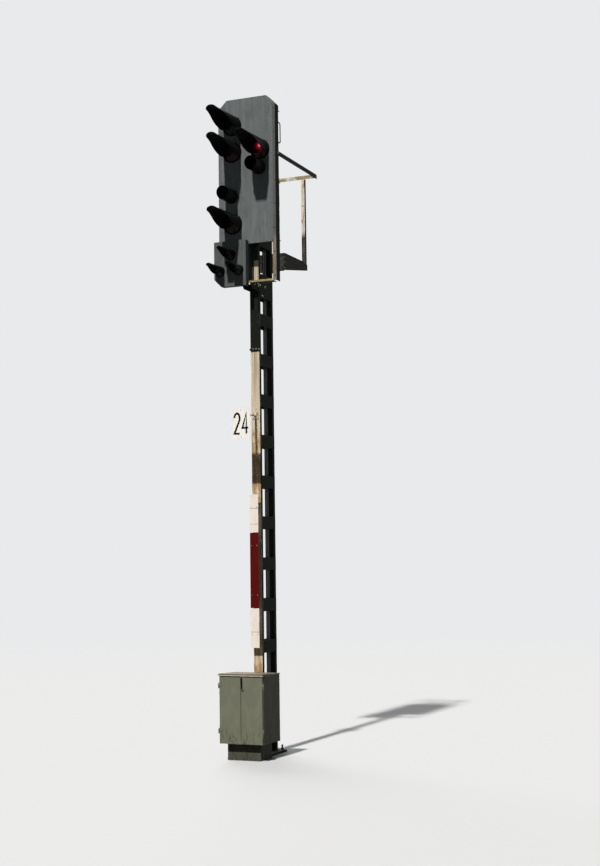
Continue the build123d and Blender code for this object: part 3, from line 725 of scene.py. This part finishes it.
def beak_hood(place, bead_radius):
    node = "hood_" + place
    centre, radius, length = hood_size(node)
    mesh = bmesh.new()
    rows, edge = hood_rows(mesh, centre, radius, length)
    skin(mesh, rows)
    bmesh.ops.remove_doubles(mesh, verts=mesh.verts, dist=0.0002)
    hood = finish_piece(node + "_shell", mesh, "hood_enamel", crease=50)
    hood.data.materials.append(finishes["hood_inside"])
    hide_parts(node)
    wall = hood.modifiers.new("sheet", "SOLIDIFY")
    wall.thickness = sheet
    wall.offset = -1.0
    wall.material_offset = 1
    wall.material_offset_rim = 0
    bead = bmesh.new()
    swept(bead, edge, [bead_radius] * len(edge), segments=8)
    finish_piece(node + "_bead", bead, "hood_enamel")
    flange_ring(node, centre, radius, radius * collar_share)


for place in ("green", "red_left", "red_right", "yellow"):
    beak_hood(place, 3.0 * mm)
for place in ("sub_top", "sub_left", "sub_right"):
    beak_hood(place, 2.2 * mm)
beak_pieces = [o for o in bpy.data.objects if o.name.startswith("hood_") and o.name not in nodes]
print("beak pieces:", len(beak_pieces))

# %% [markdown]
# ## Tube hoods of the white lights
# The two small white lights sit in plain tubes whose mouths are cut at a slant, so that rain runs clear.
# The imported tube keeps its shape. Only the rolled rim round the mouth and the screwed ring are added.

# %% Rims of the tube hoods
tube_rake = 40 * mm


def tube_rim(place):
    node = "hood_" + place
    centre, radius, length = hood_size(node)
    middle = radius - sheet / 2
    points = []
    for x, z in around(48):
        height = middle * z
        set_back = tube_rake * (radius - height) / (2 * radius)
        points.append(centre + Vector((middle * x, set_back - length, height)))
    mesh = bmesh.new()
    swept(mesh, points, [2.5 * mm] * len(points), segments=8, loop=True)
    finish_piece(node + "_rim", mesh, "hood_enamel")
    flange_ring(node, centre, radius, 12 * mm)


for place in ("white_upper", "white_lower"):
    tube_rim(place)
print("rims on the white lights: 2")

# %% [markdown]
# ## Lenses
# A signal lens is a shallow dome of pressed glass with stepped rings, which bend the lamp's light into
# a beam. Only the rings show from outside. The dome is turned from a profile in which each ring starts
# with a small step, so the rings are real edges that catch light, and not a bump.

# %% Lenses
lens_gap = 7.5 * mm


def ridged_lens(name, node, centre, radius, finish, rings=9):
    """A domed lens whose face is cut in rings, inside a thin bezel."""
    rim, bulge, step = 12 * mm, 15 * mm, 1.2 * mm
    profile = [(radius, 0.0), (radius, rim)]
    for index in range(rings, 0, -1):
        outer, inner = radius * index / rings, radius * (index - 0.86) / rings
        height_out, height_in = (rim + bulge * (1 - (r / radius) ** 2) for r in (outer, inner))
        profile += [
            (outer * 0.995, height_out), ((outer + inner) / 2, height_in + step), (inner, height_in),
        ]
    profile.append((0.0, rim + bulge))
    mesh = bmesh.new()
    turned(mesh, profile, centre, front, segments=56)
    made = finish_piece(name, mesh, finish, crease=22)
    bezel_mesh = bmesh.new()
    outside = radius + 4 * mm
    bezel = [
        (radius, 0.0), (radius, rim + 2 * mm), (radius + 2 * mm, rim + 4 * mm), (outside, rim + 3 * mm),
        (outside, 0.0),
    ]
    turned(bezel_mesh, bezel, centre, front, segments=56)
    finish_piece(name + "_bezel", bezel_mesh, "hood_inside")
    if node:
        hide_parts(node)


def lens_face(hood):
    """Centre of a lens on its plate and its radius, from the size of its hood."""
    centre, radius = hood_size(hood)[:2]
    return centre, radius - lens_gap


large_lenses = {
    "green": "green_glass", "red_left": "red_glass", "red_right": "red_glass_lit", "yellow": "yellow_glass",
}
for place, glass in large_lenses.items():
    centre, radius = lens_face("hood_" + place)
    ridged_lens("lens_" + place + "_ridged", "lens_" + place, centre, radius, glass)
small_lenses = {
    "white_upper": "lenses_white", "white_lower": None, "sub_top": "lenses_subsidiary", "sub_left": None,
    "sub_right": None,
}
for place, node in small_lenses.items():
    centre, radius = lens_face("hood_" + place)
    ridged_lens("lens_" + place + "_ridged", node, centre, radius, "white_glass", rings=6)

# %% [markdown]
# ## Fasteners
# The screen is riveted to its frame, and brackets and cage are bolted. A rivet is a low dome, and a bolt
# is a washer with a six-sided head. Hundreds of separate objects would be slow to handle, so each group
# is one mesh. Their places follow the edges of the pieces that they hold.

# %% Fasteners


def rivet(mesh, place):
    """A low dome, 12 mm wide, on a sheet that faces the front."""
    dome = [(1, 0), (0.96, 0.22), (0.72, 0.48), (0.38, 0.6), (0, 0.63)]
    turned(mesh, scaled(dome, 6 * mm), place, front, segments=14)


def bolt(mesh, place, axis, radius):
    """A washer with a chamfered hexagon head. radius is the washer's."""
    washer = [(1, 0), (1, 0.16), (0, 0.16)]
    head = [(0.8, 0.16), (0.8, 0.66), (0.7, 0.78), (0, 0.78)]
    turned(mesh, scaled(washer, radius), place, axis, segments=20)
    turned(mesh, scaled(head, radius), place, axis, segments=6)


def spaced(start, end, pitch):
    """Even places from start to end, about a pitch apart."""
    count = max(1, round(abs(end - start) / pitch))
    return [start + (end - start) * index / count for index in range(count + 1)]


screen_low, screen_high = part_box("screen_plate")
strip_low, strip_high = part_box("frame_right")
window_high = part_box("window_jamb")[1]
frame_left_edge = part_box("frame_left")[0].x
print("a hexagon head over a 14 mm washer is", round(14 * 0.8, 1), "mm across its corners")

# %% Rivets in the screen
rivet_pitch = 163 * mm
edge_inset = 16 * mm
chamfer = 120 * mm


def screen_rivets():
    """Rows along the sheet's sides and top, and one just above the open window."""
    mesh = bmesh.new()
    face, low_row = screen_low.y, window_high.z + edge_inset
    for z in spaced(low_row, screen_high.z - chamfer, rivet_pitch):
        for x in (screen_high.x - edge_inset, screen_low.x + edge_inset):
            rivet(mesh, (x, face, z))
    for x in spaced(screen_low.x + chamfer, screen_high.x - chamfer, rivet_pitch):
        rivet(mesh, (x, face, screen_high.z - edge_inset))
    for x in spaced(window_high.x + edge_inset, screen_high.x - edge_inset, rivet_pitch / 2):
        rivet(mesh, (x, face, low_row))
    finish_piece("screen_rivets", mesh, "rusty_bolts")


def frame_bolts():
    mesh = bmesh.new()
    middle = (screen_high.x + strip_high.x) / 2
    for z in spaced(strip_low.z + 60 * mm, strip_high.z - 60 * mm, 2 * rivet_pitch):
        bolt(mesh, (middle, strip_low.y, z), front, 8 * mm)
    finish_piece("frame_bolts", mesh, "rusty_bolts")


def hood_screws():
    mesh = bmesh.new()
    for place in ("green", "red_left", "red_right", "yellow", "white_upper", "white_lower"):
        centre, radius = hood_size("hood_" + place)[:2]
        reach = radius + 13 * mm
        for quarter in range(4):
            angle = math.radians(45 + 90 * quarter)
            spot = centre + Vector((reach * math.cos(angle), 0, reach * math.sin(angle)))
            bolt(mesh, spot, front, 7 * mm)
    finish_piece("hood_screws", mesh, "rusty_bolts")


def corner_gussets():
    """Small sheets that close the corners between the chamfered sheet and the frame."""
    mesh = bmesh.new()
    thickness = 4 * mm
    for inner, outer in ((screen_high.x, strip_high.x), (screen_low.x, frame_left_edge)):
        rise = abs(outer - inner)
        near = [(inner, strip_high.z), (outer, strip_high.z), (inner, strip_high.z + rise)]
        rows = [[mesh.verts.new((x, strip_low.y + depth, z)) for x, z in near] for depth in (0, thickness)]
        skin(mesh, rows, closed=True)
        mesh.faces.new(rows[0])
        mesh.faces.new(rows[1])
    finish_piece("frame_corner_gussets", mesh, "screen_paint")


screen_rivets()
frame_bolts()
hood_screws()
corner_gussets()
print("rivets, screws and gussets on the screen: 4 pieces")

# %% Bolts of arms, strut, cage and platform
strut_far_bolt = -0.34
batten_bolts = ((-0.19, 5.975), (-0.04, 5.975), (-0.12, 5.845))
anchor_x, anchor_y = 0.105, 0.26


def bolts_on_nodes():
    """Bolt heads where one piece of the head, cage or platform is fixed to the next."""
    mesh = bmesh.new()
    arm_low, arm_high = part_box("head_arms")
    arm_levels = levels_of("head_arms")
    arm_back = strip_high.y + 6 * mm
    for arm_top in arm_levels[2::3]:
        for x in (arm_low.x + 25 * mm, arm_high.x - 25 * mm):
            bolt(mesh, (x, arm_back, arm_top - 16 * mm), back, 11 * mm)
    rail_low, rail_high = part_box("cage_rails")
    bar_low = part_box("cage_crossbar")[0]
    rail_middle = (rail_low.z + rail_high.z) / 2
    for x, axis in ((rail_low.x, left), (rail_high.x, right)):
        for y in (bar_low.y + 12 * mm, bar_low.y + 38 * mm):
            bolt(mesh, (x, y, rail_middle), axis, 10 * mm)
    for x, axis in ((strip_high.x, right), (frame_left_edge, left)):
        for y in (strip_high.y - 12 * mm, strip_high.y - 32 * mm):
            bolt(mesh, (x, y, rail_middle), axis, 10 * mm)
    post_low, post_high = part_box("cage_posts")
    for x in (post_low.x + 25 * mm, post_high.x - 25 * mm):
        bolt(mesh, (x, post_low.y, bar_low.z + 25 * mm), front, 10 * mm)
        bolt(mesh, (x, post_low.y, post_low.z + 40 * mm), front, 10 * mm)
    bracket_low, bracket_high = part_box("platform_brackets")
    for x, axis in ((bracket_low.x, left), (bracket_high.x, right)):
        for z in spaced(bracket_low.z + 35 * mm, bracket_high.z - 35 * mm, 60 * mm):
            bolt(mesh, (x, bracket_low.y + 22 * mm, z), axis, 11 * mm)
    finish_piece("cage_and_platform_bolts", mesh, "zinc_bolts")


def strut_bolts():
    mesh = bmesh.new()
    low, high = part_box("lower_strut")
    near_bolt, upper = high.y - 18 * mm, high.z - 22 * mm
    for y, z in ((near_bolt, upper), (near_bolt, low.z + 22 * mm), (strut_far_bolt, upper)):
        bolt(mesh, (high.x, y, z), right, 13 * mm)
        bolt(mesh, (low.x, y, z), left, 13 * mm)
    leg_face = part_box("front_channel")[0].y - 8 * mm
    for x in (-20 * mm, 20 * mm):
        bolt(mesh, (x, leg_face, low.z + 30 * mm), front, 11 * mm)
    batten_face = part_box("battens_right")[1].x
    for y, z in batten_bolts:
        bolt(mesh, (batten_face, y, z), right, 13 * mm)
    foot_low, foot_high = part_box("name_plate_arm")
    middle = foot_high.z - 45 * mm
    for x in (foot_low.x + 16 * mm, foot_high.x - 16 * mm):
        for z in (middle - 28 * mm, middle + 28 * mm):
            bolt(mesh, (x, foot_high.y - 6 * mm, z), front, 8 * mm)
    finish_piece("strut_and_arm_bolts", mesh, "zinc_bolts")


def anchor_bolts():
    """Studs from the foundation, each with a washer and a nut, in the four holes of the foot plate."""
    mesh = bmesh.new()
    plate_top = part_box("foot_plate")[1].z
    stud = scaled([(12, 0), (12, 62), (9, 66), (0, 66)], mm)
    washer = scaled([(26, 0), (26, 4), (0, 4)], mm)
    nut = scaled([(20, 4), (21, 6), (21, 24), (18, 27), (0, 27)], mm)
    for x in (-anchor_x, anchor_x):
        for y in (-anchor_y, anchor_y):
            for profile, segments in ((stud, 20), (washer, 24), (nut, 6)):
                turned(mesh, profile, (x, y, plate_top), upward, segments)
    finish_piece("anchor_bolts", mesh, "rusty_bolts")


bolts_on_nodes()
strut_bolts()
anchor_bolts()
print("bolts of the cage, strut and foot: 3 pieces")

# %% [markdown]
# ## Weld beads on the battens
# Each batten is welded to both channels along its ends and edges. A weld bead is a ripple of overlapping
# drops, so a circle whose radius swells and shrinks every few millimetres is carried along the joint.

# %% Weld beads on the battens


def weld_bead(mesh, start, end, radius, drop=11 * mm):
    """A rippled bead from start to end, sunk halfway into the joint."""
    start, end = Vector(start), Vector(end)
    count = max(4, round((end - start).length / drop) * 2)
    points = [start.lerp(end, index / count) for index in range(count + 1)]
    radii = [radius * (1.0 if index % 2 else 0.78) for index in range(count + 1)]
    swept(mesh, points, radii, segments=6)


def batten_welds(node, side):
    """Beads along the outer ends and the edges of one row of battens."""
    low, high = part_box(node)
    face = low.x if side > 0 else high.x
    size = 3.5 * mm
    flange = 41 * mm
    levels = levels_of(node, digits=4)
    mesh = bmesh.new()
    for bottom, top in zip(levels[0::2], levels[1::2]):
        for end, inward in ((low.y, 1), (high.y, -1)):
            weld_bead(mesh, (face, end, bottom), (face, end, top), size)
            for z in (bottom, top):
                weld_bead(mesh, (face, end, z), (face, end + inward * flange, z), size)
    finish_piece(node + "_welds", mesh, "mast_paint")


batten_welds("battens_right", 1)
batten_welds("battens_left", -1)

# %% [markdown]
# ## Number on the name plate
# A signal is known by the plate on its mast. The figures are black film, cut narrow and tall so that a
# driver can read them from far off. Here they are strokes: a line of points for each figure, in a box one
# wide and one high, is given a width and a little thickness. The number is a made-up one.

# %% Number on the name plate


def stroke(mesh, points, width, origin, thickness):
    """A flat ribbon along points that lie on a plate seen from the front, with mitred corners."""
    rows = []
    for index, point in enumerate(points):
        before = (point - points[index - 1]).normalized() if index else None
        after = (points[index + 1] - point).normalized() if index < len(points) - 1 else None
        turn_in, turn_out = before or after, after or before
        mitre = (turn_in + turn_out).normalized()
        normal = Vector((-mitre.y, mitre.x))
        reach = width / 2 / max(0.5, normal.dot(Vector((-turn_in.y, turn_in.x))))
        near, far = point + normal * reach, point - normal * reach
        rows.append([
            mesh.verts.new(origin + Vector((spot.x, -depth, spot.y)))
            for spot, depth in ((near, 0), (near, thickness), (far, thickness), (far, 0))
        ])
    skin(mesh, rows, closed=True)
    mesh.faces.new(rows[0])
    mesh.faces.new(rows[-1])


def plate_number():
    low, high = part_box("name_plate")
    middle = (low + high) / 2
    wide, tall, gap, line = 72 * mm, 258 * mm, 38 * mm, 25 * mm
    arc = [math.radians(a) for a in range(172, -40, -12)]
    two = [Vector((0.5 + 0.5 * math.cos(a), 0.75 + 0.25 * math.sin(a))) for a in arc]
    two += [Vector((0.0, 0.02)), Vector((1.0, 0.0))]
    four = [Vector((0.74, 0.0)), Vector((0.74, 1.0)), Vector((0.0, 0.28)), Vector((1.1, 0.28))]
    mesh = bmesh.new()
    for side, shape in ((-1, two), (1, four)):
        start = middle.x + (gap / 2 if side > 0 else -gap / 2 - wide)
        origin = Vector((start, low.y, middle.z - tall / 2))
        points = [Vector((p.x * wide, p.y * tall)) for p in shape]
        stroke(mesh, points, line, origin, 0.8 * mm)
    finish_piece("name_plate_number", mesh, "black_film", crease=20)


plate_number()
print("figures 258 mm tall")

# %% [markdown]
# ## Joints and rivets of the mast sign
# The banded sign is several sheets in a row. Where two meet, the lower one's edge lies over the other and
# throws a thin dark line, which is a thin black strip here. Rivets hold the sign to the brackets behind
# it, and the name plate to its arm.

# %% Joints and rivets of the mast sign
joint_levels = (3.10, 2.90, 1.546)


def slab(mesh, low, high):
    """A plain box between two corners."""
    size = Vector(high) - Vector(low)
    place = Matrix.Translation((Vector(low) + Vector(high)) / 2) @ Matrix.Diagonal((*size, 1.0))
    bmesh.ops.create_cube(mesh, size=1.0, matrix=place)


def sign_details():
    low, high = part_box("mast_sign_white")
    joints = bmesh.new()
    for level in joint_levels:
        slab(joints, (low.x, low.y - 0.6 * mm, level), (high.x, low.y + 0.4 * mm, level + 3.5 * mm))
    finish_piece("mast_sign_joints", joints, "black_film")
    rivets = bmesh.new()
    bracket_levels = levels_of("mast_sign_brackets")
    for bottom, top in zip(bracket_levels[0::2], bracket_levels[1::2]):
        for x in (low.x + 22 * mm, high.x - 22 * mm):
            rivet(rivets, (x, low.y, (bottom + top) / 2))
    finish_piece("mast_sign_rivets", rivets, "zinc_bolts")
    plate_low, plate_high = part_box("name_plate")
    plate_rivets = bmesh.new()
    for z in (plate_low.z + 24 * mm, plate_high.z - 24 * mm):
        rivet(plate_rivets, ((plate_low.x + plate_high.x) / 2, plate_low.y, z))
    finish_piece("name_plate_rivets", plate_rivets, "zinc_bolts")


sign_details()
print("sign joints:", len(joint_levels))

# %% [markdown]
# ## Platform grating
# Press-locked grating has upright bearing bars with thinner rods across them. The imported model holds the
# bearing bars. The rods are added here, one every 33 mm, let into the top of the bars.

# %% Platform grating
rod_pitch = 33 * mm
low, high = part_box("platform_grating")
rods = bmesh.new()
for x in spaced(low.x + 8 * mm, high.x - 8 * mm, rod_pitch):
    ends = [Vector((x, low.y + 1 * mm, high.z - 3 * mm)), Vector((x, high.y - 1 * mm, high.z - 3 * mm))]
    swept(rods, ends, [2.4 * mm] * 2, segments=6)
finish_piece("grating_rods", rods, "galvanised_steel")
print("rods", round((high.x - low.x - 16 * mm) / rod_pitch) + 1)

# %% [markdown]
# ## Cabinet fittings
# A trackside cabinet has a rubber seal in its door gap, a small lock for a three-sided key below the
# handle, caps on its hinge pins, and a drip edge under the roof. The fitter works at the rows of terminals
# inside, where every clamp has a brass screw and a thin rib beside it.

# %% Cabinet fittings
leaf_low, leaf_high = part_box("cabinet_door_right")
knuckle_proud = 4 * mm
door_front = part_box("cabinet_door_left")[0].y + knuckle_proud
lock_height = 0.86
clamp_pitch = 13 * mm


def lock_and_seal():
    lock = bmesh.new()
    spot = (leaf_low.x + 24 * mm, door_front, lock_height)
    turned(lock, scaled([(15, 0), (15, 3), (12, 5), (0, 5)], mm), spot, front, segments=32)
    turned(lock, scaled([(6, 5), (6, 7), (0, 7)], mm), spot, front, segments=3)
    finish_piece("cabinet_lock", lock, "rusty_bolts", body="door_right")
    seal = bmesh.new()
    slab(
        seal, (leaf_low.x - 1.6 * mm, door_front + 6 * mm, leaf_low.z + 8 * mm),
        (leaf_low.x + 0.2 * mm, door_front + 16 * mm, leaf_high.z - 8 * mm),
    )
    finish_piece("cabinet_door_seal", seal, "cable_jacket", body="door_right")


def door_handle():
    """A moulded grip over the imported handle: a slot shape with a rounded edge."""
    grip = [v.co for v in nodes["cabinet_door_right"].data.vertices if v.co.y < leaf_low.y + 1 * mm]
    low_x, high_x = (choose(p.x for p in grip) for choose in (min, max))
    low_z, high_z = (choose(p.z for p in grip) for choose in (min, max))
    radius = (high_x - low_x) / 2 + 2 * mm
    straight = (high_z - low_z) / 2 + 2 * mm - radius
    middle = Vector(((low_x + high_x) / 2, 0, (low_z + high_z) / 2))
    mesh = bmesh.new()
    rows = []
    face = leaf_low.y
    for y, inset in ((door_front, 0), (face + 3 * mm, 0), (face, 1.5), (face - 1 * mm, 4)):
        reach = radius - inset * mm
        row = []
        for step, (x, z) in enumerate(around(32)):
            lift = straight if step < 16 else -straight
            row.append(mesh.verts.new(middle + Vector((reach * x, y, lift + reach * z))))
        rows.append(row)
    skin(mesh, rows, closed=True)
    mesh.faces.new(rows[-1])
    mesh.faces.new(rows[0])
    finish_piece("cabinet_door_handle", mesh, "hood_inside", body="door_right")


def hinge_caps():
    """A domed cap on each pin, above its knuckle."""
    mesh = bmesh.new()
    low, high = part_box("cabinet_hinges")
    levels = levels_of("cabinet_hinges")
    cap = scaled([(6, 0), (6, 2), (4, 4.5), (0, 5)], mm)
    for x in (low.x + 8 * mm, high.x - 8 * mm):
        for top in (levels[2], levels[-1]):
            turned(mesh, cap, (x, low.y + 8 * mm, top), upward)
    finish_piece("hinge_caps", mesh, "rusty_bolts")


def roof_edge():
    """The folded lip that lets rain drip clear of the sides. It ends above the doors' swing."""
    mesh = bmesh.new()
    low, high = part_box("cabinet_roof")
    lip, room, fold = 8 * mm, 3 * mm, 1.2 * mm
    slab(mesh, (low.x, low.y - fold, low.z - room), (high.x, low.y + fold, low.z + lip))
    for x in (low.x, high.x):
        slab(mesh, (x - fold, low.y - fold, low.z - room), (x + fold, high.y, low.z + 2 * fold))
    finish_piece("roof_drip_edge", mesh, "lip_highlight_paint")


def terminals():
    """Ribs and brass screws along the front of each row of blocks."""
    ribs, screws = bmesh.new(), bmesh.new()
    low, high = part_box("terminal_board")
    levels = levels_of("terminal_board")[1:-1]
    screw = scaled([(3.6, 0), (3.4, 2), (0, 2.4)], mm)
    for bottom, top in zip(levels[0::2], levels[1::2]):
        for x in spaced(low.x + 34 * mm, high.x - 34 * mm, clamp_pitch):
            slab(ribs, (x - 0.8 * mm, low.y - 6 * mm, bottom), (x + 0.8 * mm, low.y, top))
        for x in spaced(low.x + 40.5 * mm, high.x - 40.5 * mm, clamp_pitch):
            for z in (bottom + 16 * mm, top - 16 * mm):
                turned(screws, screw, (x, low.y, z), front, segments=10)
    finish_piece("terminal_ribs", ribs, "terminal_plastic")
    finish_piece("terminal_screws", screws, "brass")


lock_and_seal()
door_handle()
hinge_caps()
roof_edge()
terminals()
print("fittings of the cabinet: 7 pieces")

# %% [markdown]
# ## Floor
# The part stands on a plain pale floor that fades into a plain pale background, so that nothing competes
# with its outline. A wide disc is enough. Its rim takes the background's own colour, and near the mast it
# stays a matt surface that keeps the shadow. To the light that the part would catch from it, the floor
# counts as dark grey, as ground would be, so it doesn't brighten the shaded sides.

# %% Floor
backdrop = "#e9eaeb"
floor_radius = 60
fade_start, fade_end = 9.0, 30.0


def studio_floor():
    material, tree = new_finish("plain_pale_floor")
    place = add(tree, "TexCoord").outputs["Object"]
    away = add(tree, "VectorMath", {0: place}, operation="LENGTH")
    far = add(
        tree, "MapRange", {"Value": away.outputs["Value"], "From Min": fade_start, "From Max": fade_end},
        interpolation_type="SMOOTHSTEP",
    )
    matt = add(tree, "BsdfDiffuse", {"Color": rgb("#c5c8cd")})
    shine = add(tree, "Emission", {"Color": rgb(backdrop), "Strength": 1.0})
    mixed = add(tree, "MixShader", {0: far, 1: matt, 2: shine})
    path = add(tree, "LightPath")
    dark = add(tree, "BsdfDiffuse", {"Color": rgb("#4a4a46")})
    mixed = add(tree, "MixShader", {0: path.outputs["Is Diffuse Ray"], 1: mixed, 2: dark})
    add(tree, "OutputMaterial", {"Surface": mixed})
    return material


floor_mesh = bmesh.new()
bmesh.ops.create_circle(floor_mesh, cap_ends=True, segments=96, radius=floor_radius)
floor_data = bpy.data.meshes.new("floor")
floor_mesh.to_mesh(floor_data)
floor_mesh.free()
floor_data.materials.append(studio_floor())
floor = bpy.data.objects.new("floor", floor_data)
bpy.context.scene.collection.objects.link(floor)
print("floor radius", floor_radius, "m")

# %% [markdown]
# ## Light
# The key stands in front and 51 degrees up, which throws the hoods' shadows down the screen as on a
# clear day. It is a sun lamp, so the whole height of the mast gets the same light, with a disc wide
# enough for soft shadow edges. It brings an upright face at the front to about the brightness of its own
# colour. A weaker and very wide lamp behind and to the left shows the back of the head and the cage, and
# a low even world fills the rest. The camera, reflections and glass see the pale background instead of
# that dim fill.

# %% Light


def lamp(name, compass, height, energy, width):
    """A sun lamp from a compass angle, seen from above and 0 in front, and a height. All in degrees."""
    data = bpy.data.lights.new(name, "SUN")
    data.energy = energy
    data.angle = math.radians(width)
    data.color = rgb("#fffaf2")[:3]
    made = bpy.data.objects.new(name, data)
    compass, height = math.radians(compass), math.radians(height)
    source = Vector((
        math.sin(compass) * math.cos(height), -math.cos(compass) * math.cos(height), math.sin(height),
    ))
    made.rotation_euler = source.to_track_quat("Z", "Y").to_euler()
    bpy.context.scene.collection.objects.link(made)
    return source


key_from = lamp("key", -1, 51, 4.35, 2)
lamp("back_light", -140, 32, 2.0, 40)

world = bpy.data.worlds.new("studio")
bpy.context.scene.world = world
world.use_nodes = True
sky = world.node_tree
sky.nodes.clear()
path = add(sky, "LightPath")
seen = path.outputs["Is Camera Ray"]
for kind in ("Is Glossy Ray", "Is Transmission Ray"):
    seen = add(sky, "Math", {0: seen, 1: path.outputs[kind]}, operation="MAXIMUM")
fill = add(sky, "Background", {"Color": rgb("#e8eef6"), "Strength": 0.11})
plain = add(sky, "Background", {"Color": rgb(backdrop), "Strength": 1.0})
both = add(sky, "MixShader", {0: seen, 1: fill, 2: plain})
add(sky, "OutputWorld", {"Surface": both})
print("key from", [round(v, 2) for v in key_from])
